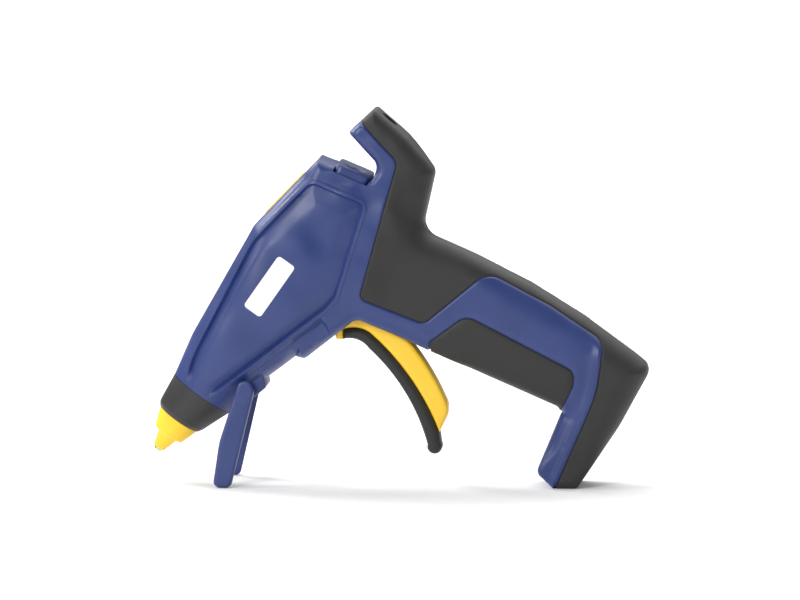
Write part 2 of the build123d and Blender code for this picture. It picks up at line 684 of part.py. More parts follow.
with BuildPart() as charge_socket:
    with Locations((SOCKET_X, 0, 4.4)):
        Box(3.4, 9.2, 7.6)
    with Locations((SOCKET_X, 0, 3.0)):
        Box(2.6, 8.4, 7.0, mode=Mode.SUBTRACT)
    with Locations((SOCKET_X, 0, 4.4)):
        Box(0.8, 6.4, 6.0)
write(charge_socket.part, "charge_socket")
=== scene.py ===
# %% [markdown]
# # Dressing a cordless glue gun
# The CAD model gives every piece its place, its size and its joints. This lesson keeps that frame
# and builds the surfaces that a person sees: two moulded housing halves with rubber laid into them,
# a trigger with a rubber pad, a turned nose, a folding stand and a power button. The pieces inside
# the housing keep their CAD shape and get real finishes.

# %% Load the frame
import bmesh
import bpy
import json
import math
import numpy as np
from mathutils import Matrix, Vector
from mathutils.geometry import delaunay_2d_cdt


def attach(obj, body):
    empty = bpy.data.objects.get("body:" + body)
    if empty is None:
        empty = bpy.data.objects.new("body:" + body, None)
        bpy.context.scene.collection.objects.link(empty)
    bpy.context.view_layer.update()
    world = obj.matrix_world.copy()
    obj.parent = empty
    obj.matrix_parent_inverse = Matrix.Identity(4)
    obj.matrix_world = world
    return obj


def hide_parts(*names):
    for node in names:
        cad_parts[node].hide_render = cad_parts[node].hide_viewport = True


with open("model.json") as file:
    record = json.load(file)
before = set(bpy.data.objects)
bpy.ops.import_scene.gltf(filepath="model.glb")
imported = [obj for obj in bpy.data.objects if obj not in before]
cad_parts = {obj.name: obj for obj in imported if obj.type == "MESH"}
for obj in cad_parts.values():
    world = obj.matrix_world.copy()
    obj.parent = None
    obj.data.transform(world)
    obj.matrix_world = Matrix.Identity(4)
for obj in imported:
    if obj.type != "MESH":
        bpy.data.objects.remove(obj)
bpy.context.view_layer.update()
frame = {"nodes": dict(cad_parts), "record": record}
MM = 0.001

# %% [markdown]
# ## Camera
# A product picture is taken from far away with a long lens, so that the near side of the gun isn't
# swollen by perspective. The camera stands a few degrees above the bench and a few degrees
# towards the butt of the handle.

# %% Camera
LENS_MM, CAMERA_DISTANCE = 360, 3.36
YAW, LIFT = math.radians(-4.5), math.radians(6.5)
AIM = Vector((0, 0, 0.0775))

toward_camera = Vector((-math.sin(YAW) * math.cos(LIFT), -math.cos(YAW) * math.cos(LIFT),
                        math.sin(LIFT)))
camera = bpy.data.objects.new("camera", bpy.data.cameras.new("camera"))
bpy.context.scene.collection.objects.link(camera)
camera.data.lens = LENS_MM
camera.location = AIM + toward_camera * CAMERA_DISTANCE
camera.rotation_euler = (-toward_camera).to_track_quat("-Z", "Y").to_euler()
bpy.context.scene.camera = camera
print("camera stands at", [round(c, 3) for c in camera.location])

# %% [markdown]
# ## Colours and nodes
# Two small helpers serve every material: one turns a familiar sRGB hex value into the linear colour
# that the shader expects, the other adds a node with its settings and links in one line.

# %% Helpers for materials
def linear(hex_colour):
    """An sRGB colour such as "#2f3f7f" as linear RGBA."""
    channels = [int(hex_colour[i:i + 2], 16) / 255 for i in (1, 3, 5)]
    return (*[c / 12.92 if c <= 0.04045 else ((c + 0.055) / 1.055) ** 2.4 for c in channels], 1)


def add(tree, kind, links=None, **settings):
    """Adds a node. Settings are its properties, or input sockets by name; links go socket to socket."""
    node = tree.nodes.new("ShaderNode" + kind)
    for name, value in settings.items():
        socket = node.inputs.get(name.replace("_", " "))
        if hasattr(node, name) or socket is None:
            setattr(node, name, value)
        else:
            socket.default_value = value
    for name, source in (links or {}).items():
        tree.links.new(source, node.inputs[name])
    return node


def new_material(name, colour, roughness, metallic=0.0, **more):
    """A named material with one principled shader. Returns the material, its tree and its shader."""
    material = bpy.data.materials.new(name)
    material.use_nodes = True
    tree = material.node_tree
    shader = tree.nodes["Principled BSDF"]
    shader.inputs["Base Color"].default_value = linear(colour)
    shader.inputs["Roughness"].default_value = roughness
    shader.inputs["Metallic"].default_value = metallic
    for socket, value in more.items():
        shader.inputs[socket.replace("_", " ")].default_value = value
    material.diffuse_color = linear(colour)
    return material, tree, shader


def grain(tree, shader, size_mm, depth_mm, colours=None, roughness=None, stretch=(1, 1, 1),
          detail=3.0):
    """An uneven surface: bumps of a real size, and a colour and roughness that wander with them."""
    place = add(tree, "TexCoord")
    turned = add(tree, "Mapping", {"Vector": place.outputs["Object"]}, Scale=stretch)
    noise = add(tree, "TexNoise", {"Vector": turned.outputs["Vector"]},
                Scale=1 / (size_mm * MM), Detail=detail, Roughness=0.6)
    bump = add(tree, "Bump", {"Height": noise.outputs["Fac"]}, Strength=1.0, Distance=depth_mm * MM)
    tree.links.new(bump.outputs["Normal"], shader.inputs["Normal"])
    patches = add(tree, "TexNoise", {"Vector": turned.outputs["Vector"]}, Scale=60.0, Detail=2.0)
    if colours:
        ramp = add(tree, "ValToRGB", {"Fac": patches.outputs["Fac"]})
        for stop, (position, colour) in zip(ramp.color_ramp.elements, zip((0.35, 0.65), colours)):
            stop.position, stop.color = position, linear(colour)
        tree.links.new(ramp.outputs["Color"], shader.inputs["Base Color"])
    if roughness:
        spread_out = add(tree, "MapRange", {"Value": patches.outputs["Fac"]},
                         **{"From_Min": 0.3, "From_Max": 0.7,
                            "To_Min": roughness[0], "To_Max": roughness[1]})
        tree.links.new(spread_out.outputs["Result"], shader.inputs["Roughness"])


print("helpers ready")

# %% [markdown]
# ## Housing finishes
# The blue halves are ABS, moulded in a tool whose steel was spark-eroded, so the skin carries a fine
# grain that breaks highlights into a soft satin. The black grips are a thermoplastic elastomer: a
# rubber that is moulded over the ABS, duller and slightly dusty at grazing angles. The nose collar
# is glass-filled nylon, which has to stand beside the heater, and it is black and nearly matt.

# %% Blue ABS, black rubber, black nylon
materials = {}

# Spark-eroded grain is 0.1 to 0.2 mm across; 0.5 mm is as fine as a picture of the whole gun shows.
blue_abs, tree, shader = new_material("blue_abs_textured", "#24366e", 0.42, IOR=1.53)
grain(tree, shader, 0.5, 0.012, ("#22346b", "#263871"), (0.38, 0.46))
materials["blue_abs"] = blue_abs

# Rubber scatters light in its surface, which the eye reads as a faint bloom at grazing angles.
rubber, tree, shader = new_material("black_elastomer", "#161615", 0.6, IOR=1.5,
                                    Sheen_Weight=0.04, Sheen_Roughness=0.5)
grain(tree, shader, 0.6, 0.015, ("#1d1d1c", "#222221"), (0.55, 0.66))
materials["black_rubber"] = rubber

nylon, tree, shader = new_material("black_nylon", "#131314", 0.48, IOR=1.53)
grain(tree, shader, 0.5, 0.01, ("#1e1e1f", "#222223"), (0.44, 0.52))
materials["black_plastic"] = nylon
print("housing finishes:", [m.name for m in materials.values()])

# %% [markdown]
# ## Yellow finishes and print
# The trigger and the button are yellow ABS with a smoother, polished-tool skin. The nozzle's cover
# is silicone: it lets a little light in before it comes back, which softens its shadows. The mark
# on the side is pad-printed ink, a thin matt film with nothing written on it.

# %% Yellow ABS, yellow silicone, white ink
yellow, tree, shader = new_material("yellow_abs", "#f4c42c", 0.35, IOR=1.53)
grain(tree, shader, 0.8, 0.006, ("#f3c229", "#f6c832"), (0.32, 0.4))
materials["yellow_plastic"] = yellow

silicone, tree, shader = new_material("yellow_silicone", "#f5c52f", 0.45, IOR=1.41,
                                      Subsurface_Weight=0.15, Subsurface_Scale=0.002)
grain(tree, shader, 0.8, 0.006, ("#f3c22a", "#f7ca36"), (0.4, 0.5))
materials["yellow_silicone"] = silicone

ink, tree, shader = new_material("white_pad_print", "#e9e9ea", 0.55, IOR=1.5)
grain(tree, shader, 0.5, 0.008, ("#e6e6e8", "#ececec"), (0.5, 0.6))
print("yellow finishes and ink ready")

# %% [markdown]
# ## Metals and inner plastics
# Metals are told apart by how they were cut. Turned brass with a nickel skin shows rings, die-cast
# aluminium is dull and pitted, drawn wire is drawn out along its length. Inner plastics stay plain.

# %% Metals
brass, tree, shader = new_material("nickel_plated_brass", "#cfc6ac", 0.28, metallic=1.0)
grain(tree, shader, 0.3, 0.004, ("#c9bfa3", "#d6cfb8"), (0.22, 0.34), stretch=(1, 1, 3))
materials["brass"] = brass

cast, tree, shader = new_material("cast_aluminium", "#b4b5b6", 0.5, metallic=1.0)
grain(tree, shader, 0.9, 0.03, ("#a9aaab", "#bcbdbe"), (0.45, 0.6))
materials["cast_aluminium"] = cast

spring_steel, tree, shader = new_material("drawn_spring_steel", "#8f9194", 0.32, metallic=1.0)
grain(tree, shader, 0.2, 0.003, ("#87898c", "#999b9e"), (0.26, 0.4), stretch=(4, 1, 1))
materials["spring_steel"] = spring_steel

pin_steel, tree, shader = new_material("turned_steel_pin", "#85868a", 0.3, metallic=1.0)
grain(tree, shader, 0.2, 0.003, ("#7d7e82", "#909195"), (0.24, 0.38), stretch=(1, 4, 1))
materials["steel_pin"] = pin_steel

folded_steel, tree, shader = new_material("folded_steel_sheet", "#a3a4a6", 0.3, metallic=1.0)
grain(tree, shader, 0.3, 0.003, ("#9a9b9d", "#acadaf"), (0.24, 0.36), stretch=(1, 1, 4))
materials["socket_steel"] = folded_steel
print("metals ready")

# %% Inner plastics, ceramic, board and cell film
support, tree, shader = new_material("glass_filled_nylon", "#3a3a3c", 0.5, IOR=1.53)
grain(tree, shader, 0.7, 0.012, ("#363638", "#404042"), (0.45, 0.58))
materials["support_plastic"] = support

ceramic, tree, shader = new_material("sintered_ceramic", "#d9d4c6", 0.6, IOR=1.6)
grain(tree, shader, 0.5, 0.015, ("#d2ccbc", "#dedacf"), (0.55, 0.7))
materials["heater_ceramic"] = ceramic

seal, tree, shader = new_material("white_silicone_sleeve", "#dcdad4", 0.5, IOR=1.41,
                                  Subsurface_Weight=0.2, Subsurface_Scale=0.002)
grain(tree, shader, 0.8, 0.006, ("#d8d6cf", "#e0deda"), (0.45, 0.55))
materials["white_silicone"] = seal

# Solder mask over copper: broad tracks, 0.8 mm apart, show as slightly lighter green bands.
board, tree, shader = new_material("solder_mask_board", "#1d5a34", 0.3, IOR=1.55, Coat_Weight=0.3)
grain(tree, shader, 0.8, 0.01, ("#18502d", "#28703f"), (0.25, 0.35), detail=0.0)
materials["circuit_board"] = board

film, tree, shader = new_material("shrink_film", "#2f7f96", 0.25, IOR=1.57, Coat_Weight=0.2)
grain(tree, shader, 3.0, 0.02, ("#2b788f", "#34879e"), (0.2, 0.3))
materials["cell_wrap"] = film
print(len(materials), "slots have a finish")

# %% Give every CAD piece the finish of its slot
slot_of = {part["node"]: part["material_slot"] for part in frame["record"]["subparts"]}
for node, thing in frame["nodes"].items():
    thing.data.materials.clear()
    thing.data.materials.append(materials[slot_of[node]])
    for polygon in thing.data.polygons:
        polygon.material_index = 0
print("finishes given to", len(frame["nodes"]), "CAD pieces")

# %% [markdown]
# ## Drawing outlines
# The housing is drawn in millimetres on the plane between its two halves, as the CAD draws it: a
# few corners with radii. The barrel slopes at 55 degrees, so places on it are easier to give as a
# distance up the barrel and a distance towards its spine.

# %% Outline helpers
PITCH = math.radians(55)
TIP = np.array((-102.7, 13.2))
AXIAL = np.array((math.cos(PITCH), math.sin(PITCH)))
SPINEWARD = np.array((-math.sin(PITCH), math.cos(PITCH)))


def at(u, v):
    """The (x, z) of a point u up the barrel and v towards its spine."""
    return TIP + AXIAL * u + SPINEWARD * v


def up_barrel(points):
    """The (u, v) of points given as (x, z)."""
    return (points - TIP) @ AXIAL, (points - TIP) @ SPINEWARD


def rounded(corners, closed=True):
    """The points of a line through (x, z, radius) corners, each corner turned into an arc."""
    spots = [np.array(c[:2], float) for c in corners]
    line = []
    for i, (here, radius) in enumerate(zip(spots, (c[2] for c in corners))):
        if not radius or (not closed and i in (0, len(spots) - 1)):
            line.append(here)
            continue
        back = spots[i - 1] - here
        on = spots[(i + 1) % len(spots)] - here
        back, on = back / np.hypot(*back), on / np.hypot(*on)
        half = math.acos(np.clip(back @ on, -1, 1)) / 2
        middle = (back + on) / np.hypot(*(back + on))
        centre = here + middle * radius / math.sin(half)
        first = here + back * radius / math.tan(half) - centre
        turn = math.pi - 2 * half
        turn = turn if back[0] * on[1] - back[1] * on[0] < 0 else -turn
        for step in np.linspace(0, turn, max(3, math.ceil(abs(turn) * min(radius, 8) / 0.6))):
            c, s = math.cos(step), math.sin(step)
            line.append(centre + (c * first[0] - s * first[1], s * first[0] + c * first[1]))
    return np.array(line)


def divided(line, step, closed=True):
    """The line with its long runs divided so that no run is longer than step."""
    ends = np.roll(line, -1, 0) if closed else line[1:]
    pieces = []
    for a, b in zip(line, ends):
        count = max(1, math.ceil(np.hypot(*(b - a)) / step))
        pieces.extend(a + (b - a) * k / count for k in range(count))
    return np.array(pieces if closed else pieces + [line[-1]])


def loop(line):
    """A closed line with its first point repeated at its end."""
    return np.vstack([line, line[:1]])


def distance(points, line):
    """How far each point lies from an open line."""
    best = np.full(len(points), 1e9)
    for a, b in zip(line[:-1], line[1:]):
        run = b - a
        share = np.clip(((points - a) @ run) / max(run @ run, 1e-12), 0, 1)
        best = np.minimum(best, np.hypot(*(points - a - share[:, None] * run).T))
    return best


def inside(points, outline):
    """Which points lie inside a closed outline."""
    x, z = points.T
    crossed = np.zeros(len(points), bool)
    for a, b in zip(outline, np.roll(outline, -1, 0)):
        if a[1] != b[1]:
            spans = (a[1] > z) != (b[1] > z)
            crossed ^= spans & (x < (b[0] - a[0]) * (z - a[1]) / (b[1] - a[1]) + a[0])
    return crossed


print("the barrel's orifice is at", at(0, 0))

# %% The housing's outline and the grips' zones
COLLAR_U, COLLAR_R, COLLAR_V = 31.3, 14.3, -1.9
collar_top, collar_bottom = at(COLLAR_U, COLLAR_V + COLLAR_R), at(COLLAR_U, COLLAR_V - COLLAR_R)
HOUSING = [
    (*collar_top, 0),
    (-87.6, 62.6, 60),
    (-60.9, 109.3, 12),
    (-33.5, 137.7, 0),
    (-10.7, 128.1, 1.5),
    (-8.6, 135.6, 5),
    (-20.9, 148.8, 1.2),
    (-10.2, 158.8, 1.5),
    (3.8, 146.9, 40),
    (15.2, 132.6, 5),
    (9.4, 106.8, 8),
    (68.0, 80.8, 300),
    (106.0, 50.1, 5),
    (92.2, 24.9, 60),
    (75.2, 0, 2.6),
    (65.2, 0, 1.2),
    (58.0, 6.4, 3.4),
    (68.9, 33.0, 3.5),
    (-17.6, 70.6, 5),
    (-39.5, 53.0, 2),
    (-43.6, 53.8, 1.2),
    (-57.2, 43.6, 40),
    (*collar_bottom, 0),
]
REAR_ZONE = [
    (-19.2, 157.2, 0),
    (-0.1, 137.0, 5),
    (-16.0, 79.7, 3),
    (11.2, 69.1, 5),
    (37.6, 91.0, 9),
    (64.0, 76.9, 0),
    (86.4, 62.0, 8),
    (83.4, 40.0, 50),
    (66.2, 0, 0),
    (64.4, -4, 0),
    (125, -4, 0),
    (125, 170, 0),
    (-19.2, 170, 0),
]
FRONT_ZONE = [
    (12.8, 54.0, 0),
    (13.5, 61.5, 1.5),
    (28.9, 72.9, 7),
    (74.2, 49.6, 5),
    (73.6, 43.0, 6),
    (64.0, 24.0, 0),
    (40.0, 34.0, 0),
]
OUTLINE_STEP = 0.8
housing_line = rounded(HOUSING)
rear_seam = divided(rounded(REAR_ZONE), OUTLINE_STEP)
front_seam = divided(rounded(FRONT_ZONE), OUTLINE_STEP)
print("outline points:", len(housing_line), len(rear_seam), len(front_seam))

# %% [markdown]
# ## A surface from a drawing
# A moulded half has no undercuts from outside, or it would not leave its tool. So each of its outer
# points can be given by one number: how far it stands out from the joint plane. The half is meshed
# flat first, with extra points where the surface bends, and then every point gets its height. The
# inside gets a second height, a wall's thickness less, and the rim joins the two.

# %% Flat meshing
RINGS = (0.08, 0.25, 0.5, 0.9, 1.4, 2.0, 2.8, 3.8, 5.2, 7.0)


def beside(line, offsets, closed=True):
    """Points beside a line, on both sides where offsets are given with both signs."""
    before, after = (np.roll(line, 1, 0), np.roll(line, -1, 0)) if closed else (
        np.vstack([line[:1], line[:-1]]), np.vstack([line[1:], line[-1:]]))
    run = after - before
    left = np.stack([-run[:, 1], run[:, 0]], 1) / np.maximum(np.hypot(*run.T), 1e-9)[:, None]
    whole = loop(line) if closed else line
    rows = []
    for offset in offsets:
        row = line + left * offset
        rows.append(row[distance(row, whole) > 0.9 * abs(offset)])
    return np.vstack(rows)


def thinned(points, kept, gap):
    """The points that stand at least a gap from every kept point and from each other."""
    taken = {}
    for p in kept:
        taken.setdefault((int(p[0] // gap), int(p[1] // gap)), []).append(p)
    result = []
    for p in points:
        cell = int(p[0] // gap), int(p[1] // gap)
        near = [q for i in (-1, 0, 1) for j in (-1, 0, 1)
                for q in taken.get((cell[0] + i, cell[1] + j), ())]
        if all((p[0] - q[0]) ** 2 + (p[1] - q[1]) ** 2 >= gap * gap for q in near):
            taken.setdefault(cell, []).append(p)
            result.append(p)
    return np.array(result).reshape(-1, 2)


def mesh_flat(outline, extra=None, creases=(), grid=2.2, rings=RINGS):
    """A flat mesh of an outline. Creases are lines that mesh edges must follow. Returns points, triangles."""
    fixed = [outline]
    edges = [(i, (i + 1) % len(outline)) for i in range(len(outline))]
    for line in creases:
        start = sum(map(len, fixed))
        edges += [(start + i, start + i + 1) for i in range(len(line) - 1)]
        fixed.append(line)
    fixed = np.vstack(fixed)
    loose = [beside(outline, rings), beside(outline, [-r for r in rings])]
    if extra is not None:
        loose.insert(0, extra)
    loose = np.vstack(loose)
    loose = thinned(loose[inside(loose, outline)], fixed, 0.16)
    low, high = outline.min(0), outline.max(0)
    rows = np.arange(low[1], high[1], grid * 0.87)
    net = np.array([(x + (grid / 2 if k % 2 else 0), z)
                    for k, z in enumerate(rows) for x in np.arange(low[0], high[0], grid)])
    net = net[inside(net, outline)]
    net = thinned(net, np.vstack([fixed, loose]), grid * 0.55)
    everything = np.vstack([fixed, loose, net])
    points, _, faces, *_ = delaunay_2d_cdt([Vector(p) for p in everything], edges, [], 0, 1e-6)
    points, faces = np.array([tuple(p) for p in points]), np.array([f for f in faces if len(f) == 3])
    middles = points[faces].mean(1)
    return points, faces[inside(middles, outline)]


def beside_joint(side):
    """Heights stand out from the joint plane, to the left for -1 and to the right for 1."""
    return lambda spots, height: np.stack([spots[:, 0], side * height, spots[:, 1]], 1)


def closed_piece(name, points, faces, top, bottom, place, marks=None):
    """A closed mesh between two heights over the same flat faces."""
    used, flat = np.unique(faces, return_inverse=True)
    flat = flat.reshape(-1, 3)
    count = len(used)
    upper = place(points[used], top[used]) * MM
    lower = place(points[used], bottom[used]) * MM
    edge_count = {}
    for a, b, c in flat:
        for edge in ((a, b), (b, c), (c, a)):
            key = (min(edge), max(edge))
            edge_count[key] = None if key in edge_count else edge
    walls = [(a, a + count, b + count, b) for a, b in filter(None, edge_count.values())]
    polygons = [tuple(f) for f in flat] + [tuple(f[::-1] + count) for f in flat] + walls
    mesh = bpy.data.meshes.new(name)
    mesh.from_pydata([tuple(v) for v in np.vstack([upper, lower])], [], polygons)
    if marks is not None:
        index = np.zeros(len(polygons), np.int32)
        index[:len(flat)] = marks
        mesh.polygons.foreach_set("material_index", index)
    return finished(name, mesh)


def finished(name, mesh, sharp=35):
    """Turns faces outward, shades them smooth up to an angle, and links the piece."""
    work = bmesh.new()
    work.from_mesh(mesh)
    bmesh.ops.recalc_face_normals(work, faces=work.faces)
    work.to_mesh(mesh)
    work.free()
    mesh.shade_smooth()
    mesh.set_sharp_from_angle(angle=math.radians(sharp))
    piece = bpy.data.objects.new(name, mesh)
    bpy.context.scene.collection.objects.link(piece)
    return piece


def dress(piece, slot, body, *nodes):
    """Gives a piece its slot's finish and its body, and lets it stand for its CAD nodes."""
    piece.data.materials.append(materials[slot])
    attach(piece, body)
    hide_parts(*nodes)
    print(piece.name, "has", len(piece.data.polygons), "faces and rides on", body)
    return piece


print("flat meshing ready")

# %% [markdown]
# ## How far the housing stands out
# Designers call these control sections: at a few stations the half width, the width of the flat
# edge at the joint and the reach of the rounding are fixed, and the surface flows between them.

# %% Control sections
FORM = [  # x, z, flat half width at the edge, full half width, reach of the rounding
    (*at(60, 0), 2.0, 18.2, 15.0),
    (*at(62, 19), 2.0, 17.5, 15.0),
    (*at(86, -2), 3.0, 19.9, 15.0),
    (*at(102, -2), 3.0, 19.6, 15.0),
    (*at(95, 24), 3.5, 19.6, 14.0),
    (*at(104, 24), 7.5, 18.6, 11.0),
    (*at(122, -4), 8.0, 17.2, 9.0),
    (*at(128, 17), 7.5, 15.6, 9.0),
    (-33.5, 137.7, 10.0, 15.2, 5.0),
    (-22.0, 131.0, 14.4, 15.2, 2.2),
    (-12.0, 127.0, 14.0, 15.2, 2.2),
    (-22.0, 122.0, 12.0, 17.0, 7.0),
    (-14.0, 105.0, 10.0, 17.6, 9.0),
    (-20.0, 90.0, 8.0, 18.0, 9.0),
    (-9.5, 135.5, 9.0, 14.2, 3.0),
    (-16.0, 151.0, 8.5, 13.4, 3.0),
    (-3.0, 152.5, 8.0, 13.6, 6.0),
    (3.0, 138.0, 8.0, 14.4, 7.0),
    (14.0, 130.0, 3.0, 12.6, 10.0),
    (8.0, 116.0, 3.0, 12.8, 11.0),
    (-4.0, 112.0, 3.0, 17.0, 11.0),
    (2.0, 84.0, 4.0, 15.6, 10.0),
    (-18.0, 71.0, 9.5, 16.0, 6.0),
    (20.0, 56.0, 9.0, 15.2, 6.0),
    (34.0, 47.0, 6.0, 15.2, 9.0),
    (48.0, 66.0, 2.5, 15.5, 13.0),
    (84.0, 68.0, 2.5, 15.5, 12.0),
    (98.0, 46.0, 3.0, 15.5, 11.0),
    (84.0, 30.0, 4.0, 15.4, 9.0),
    (66.0, 22.0, 5.0, 15.0, 6.5),
    (66.0, 3.0, 12.0, 14.4, 3.0),
    (76.0, 3.0, 12.0, 14.6, 4.0),
    (-50.0, 52.0, 4.0, 17.0, 13.0),
]
ROUNDING = 2.2  # 2 is an ellipse, more is squarer


def spread(points, stations):
    """Values that flow between stations, each station ruling its own neighbourhood."""
    stations = np.array(stations)
    squares = ((points[:, None] - stations[None, :, :2]) ** 2).sum(2) + 6.0
    weights = squares ** -1.6
    return ((weights @ stations[:, 2:]) / weights.sum(1)[:, None]).T


def smooth(value, low, high):
    """Rises softly from 0 at low to 1 at high."""
    share = np.clip((value - low) / (high - low), 0, 1)
    return share * share * (3 - 2 * share)


# %% [markdown]
# ## Side panel, pocket and seams
# A raised rim frames the side panel, and inside it the surface drops along a wall and climbs back
# in a shallow slope to a flat field. Below it a shallow pocket takes the folded stand. Each rubber
# zone ends in a narrow groove, where the tool shuts the soft material off against the hard one.

# %% Panel, pocket and groove shapes
PANEL = [
    (-91.5, 38.0, 0),
    (-85.6, 55.4, 60),
    (-60.5, 103.6, 25),
    (-36.2, 128.4, 4.5),
    (-13.8, 119.3, 3),
    (-25.9, 80.5, 5),
    (-29.8, 75.7, 5),
    (-85.0, 33.2, 0),
]
PANEL_SLOPE = [  # x, z, width of the slope inside the panel's wall
    (-36.0, 127.0, 7.0),
    (-20.0, 100.0, 6.5),
    (-55.0, 57.0, 3.6),
    (-74.0, 76.0, 2.6),
]
RIM_STEPS = (-2.1, -1.4, -0.3, 0.8)  # distances inside the panel's border
RIM_HEIGHTS = (0.0, 0.55, 0.55, -1.5)
PANEL_FIELD = -0.1
panel_border = divided(rounded(PANEL, closed=False), 0.7, closed=False)

POCKET = [(-50.0, 50.0), (-46.5, 57.5), (-43.0, 62.5), (-36.0, 67.5), (-30.6, 67.2),  # outer side
          (-30.4, 63.8), (-32.0, 65.0), (-34.0, 64.6), (-38.0, 61.0), (-41.8, 56.4), (-43.6, 50.0)]
POCKET_OUTER, POCKET_DEPTH = 5, 1.5
FOLD_AT, FOLD_ALONG, FOLD_UP = np.array((-63.9, 40.2)), np.array((0.8, 0.6)), np.array((-0.6, 0.8))
FOLD_ROOM = ((-7, 43), (-14, 4))  # where the folded leg lies, along and across the underside
FOLD_FLOOR = 14.0

MARK_PLACE, MARK_LENGTH, MARK_WIDTH = at(87.0, 0.6), 26.0, 8.6
half_l, half_w = MARK_LENGTH / 2, MARK_WIDTH / 2
mark = divided(rounded([(*(MARK_PLACE + AXIAL * a + SPINEWARD * b), 1.4) for a, b in (
    (-half_l, -half_w), (-half_l, half_w), (half_l, half_w), (half_l, -half_w))]), 0.8)


def panel_relief(points):
    """The height that the side panel adds."""
    inward = distance(points, panel_border) * np.where(inside(points, rounded(PANEL)), 1, -1)
    slope = spread(points, PANEL_SLOPE)[0]
    climb = np.clip((inward - RIM_STEPS[-1]) / slope, 0, 1)
    field = RIM_HEIGHTS[-1] + (PANEL_FIELD - RIM_HEIGHTS[-1]) * climb
    relief = np.where(inward < RIM_STEPS[-1], np.interp(inward, RIM_STEPS, RIM_HEIGHTS), field)
    u, _ = up_barrel(points)
    return relief * smooth(u, 31.5, 39)


def pocket_relief(points):
    """The shallow pocket above the tongue: sharp at the tongue, fading out above and below."""
    corners = np.array(POCKET, float)
    at_tongue = distance(points, corners[POCKET_OUTER:])
    elsewhere = distance(points, corners[:POCKET_OUTER])
    depth = np.minimum(np.clip(at_tongue / 0.7, 0, 1), smooth(elsewhere, 0, 4.0))
    return -POCKET_DEPTH * depth * inside(points, corners)


def foot_bead(points):
    """A bead beside the rear rubber, down the blue side of the foot, with a valley next to it."""
    away = distance(points, loop(rear_seam))
    on_foot = smooth(points[:, 1], 68, 56) * (points[:, 0] > 58) * ~inside(points, rear_seam)
    bead = 0.45 * np.clip(1 - abs(away - 1.5) / 0.8, 0, 1)
    valley = -0.9 * smooth(away, 2.2, 4.2) * (1 - smooth(away, 5.5, 12))
    return (bead + valley) * on_foot


print("panel border has", len(panel_border), "points")

# %% The outer surface
SEAM_REACH, SEAM_DEPTH = 0.75, 0.55
seams = (loop(rear_seam), loop(front_seam))


def notched(line):
    """The outline, refined where a seam crosses it and nicked there by the end of the groove."""
    fine = []
    for a, b in zip(line, np.roll(line, -1, 0)):
        near = min(distance((a + b)[None] / 2, seam)[0] for seam in seams) < 1.5
        count = max(1, math.ceil(np.hypot(*(b - a)) / 0.25)) if near else 1
        fine.extend(a + (b - a) * k / count for k in range(count))
    fine = np.array(fine)
    run = np.roll(fine, -1, 0) - np.roll(fine, 1, 0)
    right = np.stack([run[:, 1], -run[:, 0]], 1) / np.hypot(*run.T)[:, None]
    to_seam = np.minimum(*[distance(fine, seam) for seam in seams])
    return fine + right * (0.9 * np.clip(1 - to_seam / 0.6, 0, 1))[:, None]


collar_turn = np.linspace(0, math.pi, 48)[1:-1]
collar_edge = [at(COLLAR_U, COLLAR_V - COLLAR_R * math.cos(turn)) for turn in collar_turn]
skyline = notched(divided(housing_line, OUTLINE_STEP, closed=False))
outline = np.vstack([skyline, collar_edge])
u_rim, v_rim = up_barrel(skyline)
nose_part = u_rim < 75
upper_rim, lower_rim = nose_part & (v_rim > 0), nose_part & (v_rim < 0)


def rim_at(u, chosen):
    """The v of the housing's edge at u, above or below the stick."""
    order = np.argsort(u_rim[chosen])
    return np.interp(u, u_rim[chosen][order], v_rim[chosen][order])


def outer_height(points):
    """How far the housing's outer surface stands from the joint plane."""
    edge, crown, reach = spread(points, FORM)
    rise = 1 - (1 - np.clip(distance(points, skyline) / reach, 0, 1)) ** ROUNDING
    square = edge + (crown - edge) * rise ** (1 / ROUNDING)
    u, v = up_barrel(points)
    above, below = rim_at(u, upper_rim), rim_at(u, lower_rim)
    circle = np.sqrt(np.clip(((above - below) / 2) ** 2 - (v - (above + below) / 2) ** 2, 0, None))
    blend_in = smooth(u, 34, 64)
    height = circle * (1 - blend_in) + square * blend_in
    height = height + panel_relief(points) + pocket_relief(points) + foot_bead(points)
    along, across = (points - FOLD_AT) @ FOLD_ALONG, (points - FOLD_AT) @ FOLD_UP
    outside_room = np.maximum.reduce([FOLD_ROOM[0][0] - along, along - FOLD_ROOM[0][1],
                                      FOLD_ROOM[1][0] - across, across - FOLD_ROOM[1][1],
                                      np.zeros(len(points))])
    height = np.minimum(height, FOLD_FLOOR + 1.6 * outside_room)
    to_seam = np.minimum(*[distance(points, seam) for seam in seams])
    groove = SEAM_DEPTH * np.clip(1 - to_seam / SEAM_REACH, 0, 1) ** 1.5
    return np.maximum(height - groove, 0.0)


print("widest half width near the belly:", round(float(outer_height(at(95, 0)[None])[0]), 1))

# %% [markdown]
# ## The inside of a half
# The wall is 2.2 mm, solid where the screw posts stand, and open where the trigger swings, where the
# stick slides and where the button sits. The right half has the screw sockets.

